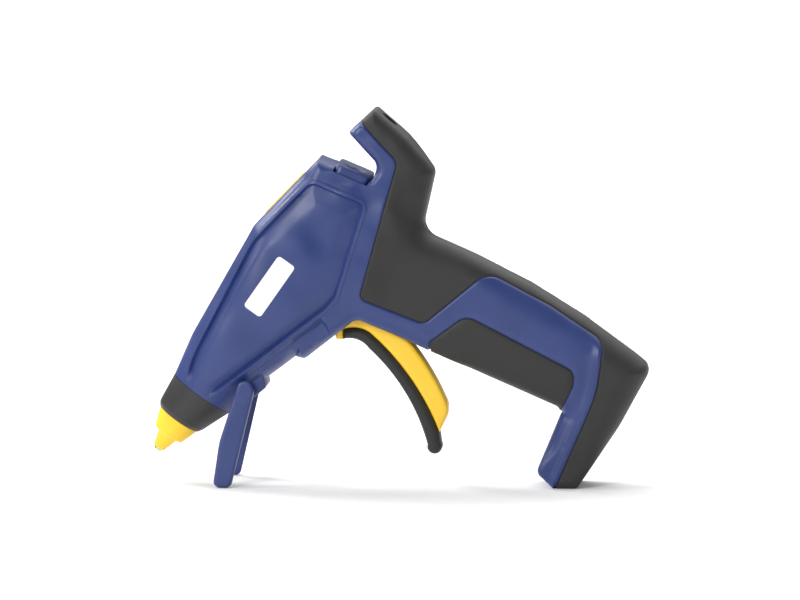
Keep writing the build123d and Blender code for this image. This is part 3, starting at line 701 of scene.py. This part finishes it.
# %% Inner surface and openings
WALL, SKIN = 2.2, 1.8
SCREWS = [at(62, -18), at(62, 13), at(100, 15), at(139, 10.5), (3.5, 124.0), (4.0, 91.0),
          (48.0, 82.0), (46.5, 51.0), (93.5, 50.0), (71.0, 15.5)]
SOCKET_R, SOCKET_FLOOR, POST_R = 2.8, 5.0, 3.9
STICK_BORES = ((148, 169.8, 5.25), (169.6, 190, 4.2), (133, 150, 6.25))  # first, last, radius
PIVOT = (-20.9, 72.5)
STAND_AXLE, AXLE_HOLE_R = (-63.9, 40.2), 1.6
TRIGGER_SLOT = [(-28.6, 50.0), (-28.6, 68.0), (-22.0, 80.0), (8.0, 78.0), (34.0, 56.5),
                (34.0, 40.0)]
SLOT_HALF = 7.0
BUTTON_AT, SPINE_ALONG, SPINE_OUT = (-48.2, 122.75), np.array((0.695, 0.719)), np.array((-0.719, 0.695))
BUTTON_HALF_L, BUTTON_HALF_W, BUTTON_CORNER = 12.3, 4.8, 3.0
INLET_AT, INLET_ALONG, INLET_OUT = (-19.1, 131.7), np.array((0.922, -0.388)), np.array((0.388, 0.922))
LIP_HALF, LIP_DEPTH = 7.8, 1.85
PARTING = 0.14  # half of the hairline gap where the two halves meet


def inner_height(points, outer):
    """How far the inner surface stands from the joint plane."""
    from_edge = distance(points, skyline)
    hollow = np.where(from_edge > WALL + 0.1, np.maximum(outer - WALL, 0), 0)
    hollow = np.where(from_edge < 0.4, PARTING, hollow)
    for x, z in SCREWS:
        hollow = np.where(np.hypot(points[:, 0] - x, points[:, 1] - z) < POST_R, 0, hollow)
    slot = np.array(TRIGGER_SLOT)
    hollow = np.where(inside(points, slot), np.maximum(hollow, SLOT_HALF), hollow)
    u, v = up_barrel(points)
    for first, last, radius in STICK_BORES:
        bore = np.sqrt(np.clip(radius ** 2 - v ** 2, 0, None))
        hollow = np.where((u > first) & (u < last) & (abs(v) < radius),
                          np.maximum(hollow, bore), hollow)
    along, out = (points - BUTTON_AT) @ SPINE_ALONG, (points - BUTTON_AT) @ SPINE_OUT
    over = np.clip(abs(along) - (BUTTON_HALF_L - BUTTON_CORNER), 0, BUTTON_CORNER)
    opening = BUTTON_HALF_W - BUTTON_CORNER + np.sqrt(BUTTON_CORNER ** 2 - over ** 2)
    at_button = (abs(along) < BUTTON_HALF_L) & (out > -6)
    hollow = np.where(at_button, np.maximum(hollow, opening), hollow)
    return np.minimum(hollow, np.maximum(outer - 0.3, 0))


def ring(centre, radius, count=24):
    """The points of a circle."""
    turns = np.linspace(0, 2 * math.pi, count, endpoint=False)
    return np.stack([centre[0] + radius * np.cos(turns), centre[1] + radius * np.sin(turns)], 1)


print(len(SCREWS), "screw posts")

# %% Flat mesh of a half, with the points its details need
lip_corners = [(-LIP_HALF, 3), (-LIP_HALF, -LIP_DEPTH), (LIP_HALF, -LIP_DEPTH), (LIP_HALF, 3)]
lip = np.array([INLET_AT + INLET_ALONG * a + INLET_OUT * b for a, b in lip_corners])
core_ring = [p for p in beside(skyline, (-SKIN, SKIN)) if inside(p[None], outline)[0]]
creases = [loop(rear_seam), loop(front_seam), loop(mark), divided(lip, OUTLINE_STEP, closed=False)]
creases += [loop(ring(place, SOCKET_R)) for place in SCREWS]
creases.append(loop(ring(STAND_AXLE, AXLE_HOLE_R)))
rim_rows = beside(panel_border, [s * side for s in RIM_STEPS + (-0.95, 0.45, 2.2) for side in (-1, 1)],
                  closed=False)
field_edge = [beside(panel_border, (side * (RIM_STEPS[-1] + extra),), closed=False)
              for side in (-1, 1) for extra in (2.2, 2.6, 3.4, 4.2, 5.6, 7.0)]
seam_rows = [beside(seam, (-0.75, -0.4, -0.15, 0.15, 0.4, 0.75)) for seam in (rear_seam, front_seam)]
tongue = divided(np.array(POCKET[POCKET_OUTER:], float), 0.7, closed=False)
tongue_rows = beside(tongue, (-1.2, -0.6, -0.3, 0, 0.3, 0.6, 1.2), closed=False)
slot_rows = beside(divided(np.array(TRIGGER_SLOT), 1.0), (-0.12, 0.12))
bore_rows = [at(u, sign * v) for u in np.arange(133, 180, 1.0) for sign in (-1, 1)
             for v in (0, 1.6, 2.9, 3.7, 4.15, 4.3, 4.7, 5.0, 5.2, 5.35, 5.9, 6.2, 6.35)]
socket_rows = [ring(place, radius) for place in SCREWS
               for radius in (SOCKET_R - 0.12, POST_R, POST_R + 0.2)]
bead_rows = beside(rear_seam, [s * d for d in (1.1, 1.5, 1.9, 2.4, 3.2, 4.4) for s in (-1, 1)])
extra = np.vstack([rim_rows, *field_edge, *seam_rows, tongue_rows, slot_rows, bore_rows, *socket_rows,
                   bead_rows, core_ring])
points, faces = mesh_flat(outline, extra, creases)
middles = points[faces].mean(1)
print("a half is meshed with", len(points), "points and", len(faces), "faces")

# %% Which faces belong to the shell and to each grip
outer = outer_height(points)
inner = inner_height(points, outer)
in_rear, in_front = inside(middles, rear_seam), inside(middles, front_seam)
in_grip = in_rear | in_front
in_lip = inside(middles, lip) | inside(middles, ring(STAND_AXLE, AXLE_HOLE_R))
in_core = distance(middles, skyline) > SKIN
in_socket = np.minimum.reduce([np.hypot(*(middles - place).T) for place in SCREWS]) < SOCKET_R
point_in_grip = (inside(points, rear_seam) | inside(points, front_seam)) & (
    np.minimum(*[distance(points, seam) for seam in seams]) > 0.01)
shell_faces = faces[(~in_grip | in_core) & ~in_lip]
shell_marks = inside(middles, mark)[(~in_grip | in_core) & ~in_lip]
shell_top = np.where(point_in_grip, outer - SKIN - 0.02, outer)
shell_bottom = np.where(point_in_grip, np.maximum(np.minimum(inner, outer - SKIN - WALL), 0), inner)
grip_bottom = np.where(distance(points, skyline) > SKIN - 0.05, outer - SKIN, 0)
grip_bottom = np.clip(np.maximum(grip_bottom, np.where(inner > outer - WALL - 1, 0, inner)),
                      0, outer - 0.3)
print("faces in the shell:", len(shell_faces), "rear grip:", in_rear.sum(),
      "front grip:", in_front.sum())

# %% Build both halves and their grips
for side, side_name in ((-1, "left"), (1, "right")):
    top = shell_top.copy()
    if side > 0:
        for place in SCREWS:
            top = np.where(np.hypot(*(points - place).T) < SOCKET_R - 0.05, SOCKET_FLOOR, top)
    bottom = np.minimum(shell_bottom, np.maximum(top - 0.3, 0))
    shell = closed_piece(f"{side_name}_housing_half", points, shell_faces, top, bottom,
                         beside_joint(side), marks=shell_marks if side < 0 else None)
    dress(shell, "blue_abs", "housing", f"{side_name}_shell")
    shell.data.materials.append(ink)
    for zone_name, zone in (("rear", in_rear), ("front", in_front)):
        chosen = faces[zone & ~(in_socket & (side > 0))]
        grip = closed_piece(f"{side_name}_{zone_name}_rubber", points, chosen, outer, grip_bottom,
                            beside_joint(side))
        dress(grip, "black_rubber", "housing", f"{side_name}_{zone_name}_grip")

# %% [markdown]
# ## Plates with rounded edges
# The trigger, its rubber pad, the stand's legs, the button and the inlet's flange are all plates:
# an outline, a thickness and a rounded edge. They are meshed like the housing, each on its own
# plane, and pin holes are left open where another body's pin runs through them.

# %% Plate helpers
def arc(first, via, last, count=16):
    """Points of the arc from first through via, without its last point."""
    (ax, ay), (bx, by), (cx, cy) = first, via, last
    d = 2 * (ax * (by - cy) + bx * (cy - ay) + cx * (ay - by))
    a2, b2, c2 = ax * ax + ay * ay, bx * bx + by * by, cx * cx + cy * cy
    centre = np.array(((a2 * (by - cy) + b2 * (cy - ay) + c2 * (ay - by)) / d,
                       (a2 * (cx - bx) + b2 * (ax - cx) + c2 * (bx - ax)) / d))
    start, middle, end = (math.atan2(y - centre[1], x - centre[0]) for x, y in (first, via, last))
    sweep, halfway = (end - start) % (2 * math.pi), (middle - start) % (2 * math.pi)
    sweep = sweep if halfway < sweep else sweep - 2 * math.pi
    radius = np.hypot(*(np.array(first) - centre))
    turns = start + sweep * np.arange(count) / count
    return [centre + radius * np.array((math.cos(t), math.sin(t))) for t in turns]


def capsule(first, last, radius, count=12):
    """The outline of a bar with round ends."""
    first, last = np.array(first), np.array(last)
    lean = math.atan2(*(last - first)[::-1])
    turns = lean + math.pi / 2 + np.linspace(0, math.pi, count)
    round_end = np.stack([np.cos(turns), np.sin(turns)], 1) * radius
    return np.vstack([first + round_end, last - round_end])


def edge_round(points, line, full, edge, reach):
    """A height that is full inside and falls to edge at the outline."""
    rise = 1 - (1 - np.clip(distance(points, loop(line)) / reach, 0, 1)) ** ROUNDING
    return edge + (full - edge) * rise ** (1 / ROUNDING)


def plate_mesh(line, holes=(), grid=1.8, step=OUTLINE_STEP):
    """The flat mesh of a plate with round holes given as (centre, radius)."""
    rims = [ring(centre, radius) for centre, radius in holes]
    points, faces = mesh_flat(divided(np.array(line), step), None, [loop(rim) for rim in rims], grid,
                              RINGS[1:8])
    for rim in rims:
        faces = faces[~inside(points[faces].mean(1), rim)]
    return points, faces


def plate(name, line, half, edge, reach, holes=()):
    """A plate that stands evenly on both sides of the joint plane."""
    points, faces = plate_mesh(line, holes)
    height = edge_round(points, np.array(line), half, edge, reach)
    return closed_piece(name, points, faces, height, -height, beside_joint(1))


def joined(name, pieces):
    """Several closed meshes as one piece."""
    work = bmesh.new()
    for piece in pieces:
        work.from_mesh(piece.data)
        bpy.data.objects.remove(piece)
    mesh = bpy.data.meshes.new(name)
    work.to_mesh(mesh)
    work.free()
    return finished(name, mesh)


print("plate helpers ready")

# %% [markdown]
# ## Trigger and its pad
# The yellow trigger is moulded first and the black rubber is moulded on its front, where three
# fingers pull. The rubber stands a little proud of the plastic, so that the seam is felt as a step
# and never as an edge. A hub turns on the trigger pin and a short arm pushes the carriage.

# %% Trigger
LINK_PIN, HUB_R = (-37.87, 89.47), 4.1
PAD_TOP, PAD_ELBOW, PAD_FOOT = (-23.6, 65.4), (-12.2, 64.0), (16.9, 22.3)
seam_down = arc(PAD_TOP, (-18.5, 66.2), PAD_ELBOW) + arc(PAD_ELBOW, (4.4, 45.6), PAD_FOOT, 40)
trigger_back = [(20.0, 28.6), *arc((20.0, 28.6), (20.6, 32.2), (19.4, 36.4))[1:],
                *arc((19.4, 36.4), (12.4, 49.6), (3.7, 61.6))]
trigger_top = [(3.7, 61.6), (-6.0, 68.4), (-17.0, 75.0), (-24.6, 74.6), (-27.3, 64.2),
               (-26.4, 61.2), (-23.6, 61.2)]
blade_line = [*seam_down, PAD_FOOT, *trigger_back, *trigger_top]
blade = plate("blade", blade_line, 6.0, 4.4, 2.0, [(PIVOT, 2.08)])
hub = plate("hub", ring(PIVOT, HUB_R, 40), 6.8, 6.4, 0.6, [(PIVOT, 2.08)])
arm_start = (-24.0, 75.6)
arm = plate("arm", capsule(arm_start, LINK_PIN, 2.1), 2.4, 2.0, 0.5, [(LINK_PIN, 1.28)])
dress(joined("trigger_blade", [blade, hub, arm]), "yellow_plastic", "trigger", "trigger")

# %% Trigger pad
pad_front = [PAD_FOOT, *arc((17.6, 17.6), (14.9, 13.0), (11.9, 17.0)),
             *arc((11.9, 17.0), (2.0, 39.6), (-12.9, 57.4), 40),
             *arc((-12.9, 57.4), (-17.4, 60.9), (-23.6, 61.2)), (-23.6, 61.2)]
pad_line = [*pad_front, *seam_down]
dress(plate("trigger_rubber", pad_line, 6.4, 3.4, 3.2), "black_rubber", "trigger", "trigger_pad")

# %% [markdown]
# ## Folding stand
# Two legs hang on one axle under the barrel and lean outward, so that the gun can't tip sideways
# when it is put down hot. Their feet are rounded, because a hand folds them by feel.

# %% Stand
LEG_INNER, LEG_T, LEG_SPLAY, PIVOT_Z = 14.5, 3.0, math.radians(7), 40.2
HUB_RISE = 0.55  # the leg is thicker where it covers the end of the axle
LEG = [  # x, height from the axle, corner radius
    (-77.1, -40.5, 2.4),
    (-69.6, -40.5, 2.4),
    (-60.0, 0.0, 4.0),
    (-61.6, 4.3, 2.6),
    (-66.3, 4.3, 2.6),
    (-68.0, -1.0, 6.0),
    (-74.6, -21.8, 25.0),
]


def on_leg(side):
    """Places a leg's flat points and thickness: it leans outward below its axle."""
    def place(spots, height):
        x, down = spots.T
        y = LEG_INNER - down * math.sin(LEG_SPLAY) + height * math.cos(LEG_SPLAY)
        z = PIVOT_Z + down * math.cos(LEG_SPLAY) + height * math.sin(LEG_SPLAY)
        return np.stack([x, side * y, np.maximum(z, 0)], 1)
    return place


for side, side_name in ((-1, "left"), (1, "right")):
    points, faces = plate_mesh(rounded(LEG))
    from_axle = np.hypot(points[:, 0] - STAND_AXLE[0], points[:, 1])
    thickness = (edge_round(points, rounded(LEG), LEG_T, LEG_T - 0.8, 1.0)
                 + HUB_RISE * smooth(from_axle, 5.5, 3.2))
    leg = closed_piece(f"stand_{side_name}", points, faces, thickness, np.zeros(len(points)),
                       on_leg(side))
    dress(leg, "blue_abs", "stand", f"stand_{side_name}_leg")

# %% [markdown]
# ## Hinge lug
# The axle runs through a solid lug under the barrel, between the legs.

# %% Lug
LUG = [(-72.0, 38.0, 0), (-66.4, 35.4, 3), (-60.4, 37.2, 2), (-55.6, 41.2, 1), (-57.0, 48.0, 0),
       (-68.0, 46.0, 0)]
lug = plate("hinge_lug", rounded(LUG), 11.5, 10.8, 0.9, [(STAND_AXLE, AXLE_HOLE_R)])
lug.data.materials.append(materials["blue_abs"])
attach(lug, "housing")

# %% [markdown]
# ## Power button and stick inlet
# The button is sunk into the spine and slightly dished, which keeps the gun from being switched on
# in a drawer. The inlet's flange lies in a notch of both halves, and its hole is countersunk, so
# that a new stick finds its way in.

# %% Button
BUTTON_L, BUTTON_W, BUTTON_TOP, BUTTON_SEAT = 24.0, 9.0, 0.35, -2.5


def box_line(length, width, corner):
    """A rectangle with round corners about the origin."""
    a, b = length / 2, width / 2
    return rounded([(-a, -b, corner), (a, -b, corner), (a, b, corner), (-a, b, corner)])


def on_face(origin, run, out):
    """Places flat points given as (along the face, across the gun), with heights out of the face."""
    def place(spots, height):
        xz = np.array(origin) + run * spots[:, :1] + out * height[:, None]
        return np.stack([xz[:, 0], spots[:, 1], xz[:, 1]], 1)
    return place


button_line = box_line(BUTTON_L, BUTTON_W, 2.7)
points, faces = plate_mesh(button_line, grid=1.2)
dish = 0.3 * smooth(distance(points, loop(button_line)), 1.0, 4.4)
crown = edge_round(points, button_line, BUTTON_TOP, BUTTON_TOP - 0.9, 1.0) - dish
button = closed_piece("power_button_cap", points, faces, crown, np.full(len(points), BUTTON_SEAT),
                      on_face(BUTTON_AT, SPINE_ALONG, SPINE_OUT))
dress(button, "yellow_plastic", "button", "power_button")

# %% Inlet flange and tube
FLANGE_L, FLANGE_W, FLANGE_TOP, FLANGE_T, STICK_R = 15.4, 28.0, 1.4, 3.2, 3.8
STICK_AT = (-0.5, 0.0)


def lathe(name, profile, segments=72):
    """Turns a closed profile of (u, radius, v of its centre) about the barrel's axis."""
    turns = np.linspace(0, 2 * math.pi, segments, endpoint=False)
    rows = []
    for u, radius, v in profile:
        xz = at(u, v) + SPINEWARD * (radius * np.cos(turns))[:, None]
        rows.append(np.stack([xz[:, 0], radius * np.sin(turns), xz[:, 1]], 1))
    count, quads = len(rows), []
    for i in range(count):
        for k in range(segments):
            n = (k + 1) % segments
            j = (i + 1) % count
            quads.append((i * segments + k, i * segments + n, j * segments + n, j * segments + k))
    mesh = bpy.data.meshes.new(name)
    mesh.from_pydata([tuple(p) for p in np.vstack(rows) * MM], [], quads)
    return finished(name, mesh)


def on_axis(corners):
    """A profile about the stick's own axis, from (u, radius, corner radius)."""
    return [(u, radius, 0.0) for u, radius in rounded(corners)]


flange_line = box_line(FLANGE_L, FLANGE_W, 2.9)
points, faces = plate_mesh(flange_line, [(STICK_AT, STICK_R)], grid=1.6)
countersink = 0.9 * np.clip(1 - (np.hypot(*(points - STICK_AT).T) - STICK_R) / 1.1, 0, 1)
top = edge_round(points, flange_line, FLANGE_TOP, FLANGE_TOP - 0.5, 0.6) - countersink
flange = closed_piece("flange", points, faces, top, np.full(len(points), FLANGE_TOP - FLANGE_T),
                      on_face(INLET_AT, INLET_ALONG, INLET_OUT))
tube = lathe("tube", on_axis([(125, 3.8, 0.3), (125, 6.1, 0.4), (143.4, 6.1, 0), (143.4, 3.8, 0)]))
dress(joined("stick_inlet", [flange, tube]), "blue_abs", "housing", "inlet_guide")

# %% [markdown]
# ## Turned pieces of the nose
# The collar starts as a circle around the nozzle and grows towards the housing, and its centre
# sinks a little on the way. The silicone cover is a stepped cone that leaves only the nozzle's tip
# bare, because the metal behind it is at 200 degrees.

# %% Collar, cover, nozzle and entry bush
collar_front = rounded([(31.15, 14.25, 0), (18.2, 11.0, 0.9), (16.4, 9.9, 0.5), (16.4, 9.05, 0.2),
                        (31.15, 9.05, 0)], closed=True)
LIP_U, LIP_R = 18.2, 9.3  # the collar bends behind its lip, and its bore stays straight
sink = COLLAR_V / (COLLAR_U - LIP_U)
collar_profile = [(u, r, sink * max(u - LIP_U, 0) * (r > LIP_R)) for u, r in collar_front]
dress(lathe("collar_shell", collar_profile, 96), "black_plastic", "housing", "nose_collar")

cover = on_axis([(1.1, 2.5, 0.3), (7.8, 4.6, 0.4), (8.2, 6.5, 0.3), (8.8, 6.9, 0.3), (16.2, 9.4, 0.1),
                 (16.35, 8.9, 0), (22, 8.9, 0.3), (22, 5.9, 0), (9.5, 5.9, 0), (7.5, 3.15, 0),
                 (2, 1.95, 0), (1.1, 1.8, 0)])
dress(lathe("cover_cone", cover), "yellow_silicone", "housing", "nozzle_cover")
tip = on_axis([(0, 0.9, 0.1), (0, 1.6, 0.15), (2, 1.9, 0), (7.6, 3.1, 0), (9.6, 5.8, 0),
               (25, 5.8, 0.3), (25, 5, 0), (33, 5, 0.4), (33, 2.6, 0), (9, 2.6, 0), (5, 0.9, 0)])
dress(lathe("nozzle_tip", tip), "brass", "housing", "nozzle")
bush = on_axis([(157, 3.8, 0.5), (157, 5.12, 0.3), (169.5, 5.12, 0.5), (169.5, 3.8, 0.6)])
dress(lathe("horn_bush", bush), "black_plastic", "housing", "entry_bush")

# %% [markdown]
# ## Floor and light
# A flat white floor and large, soft lights, as in a product studio. The key stands at the upper left in
# front, so that the barrel's flank shades off towards the handle.

# %% Floor
bpy.ops.mesh.primitive_plane_add(size=80)
floor = bpy.context.object
floor.name = "studio_floor"
paper, tree, shader = new_material("matt_white_paper", "#f6f6f6", 0.9, Specular_IOR_Level=0.1)
grain(tree, shader, 2.0, 0.005, ("#f5f5f5", "#f7f7f7"), (0.88, 0.94))
floor.data.materials.append(paper)
print("floor laid")

# %% Lights
def softbox(name, place, size, power, aim=AIM):
    """A square area light that faces its aim."""
    light = bpy.data.objects.new(name, bpy.data.lights.new(name, "AREA"))
    light.data.shape, light.data.size, light.data.energy = "SQUARE", size, power
    light.location = place
    light.rotation_euler = (Vector(place) - Vector(aim)).to_track_quat("Z", "Y").to_euler()
    bpy.context.scene.collection.objects.link(light)
    return light


softbox("key", (-0.8, -1.5, 0.85), 0.6, 20)
softbox("fill", (1.5, -1.3, 0.7), 1.2, 4)
softbox("top", (0.0, 0.3, 1.6), 1.6, 15)
softbox("left_edge", (-1.6, -0.35, 0.95), 0.35, 7)
softbox("left_back", (-1.3, 0.9, 1.3), 0.5, 14)
sweep_light = softbox("sweep", (0, 2.1, 1.5), 5.0, 84, aim=(0, 2.1, 0))
sweep_light.data.shape, sweep_light.data.size_y = "RECTANGLE", 3.6
world = bpy.data.worlds.new("studio")
bpy.context.scene.world = world
world.use_nodes = True
world.node_tree.nodes["Background"].inputs["Color"].default_value = (1, 1, 1, 1)
world.node_tree.nodes["Background"].inputs["Strength"].default_value = 0.15
bpy.context.scene.view_settings.view_transform = "Standard"
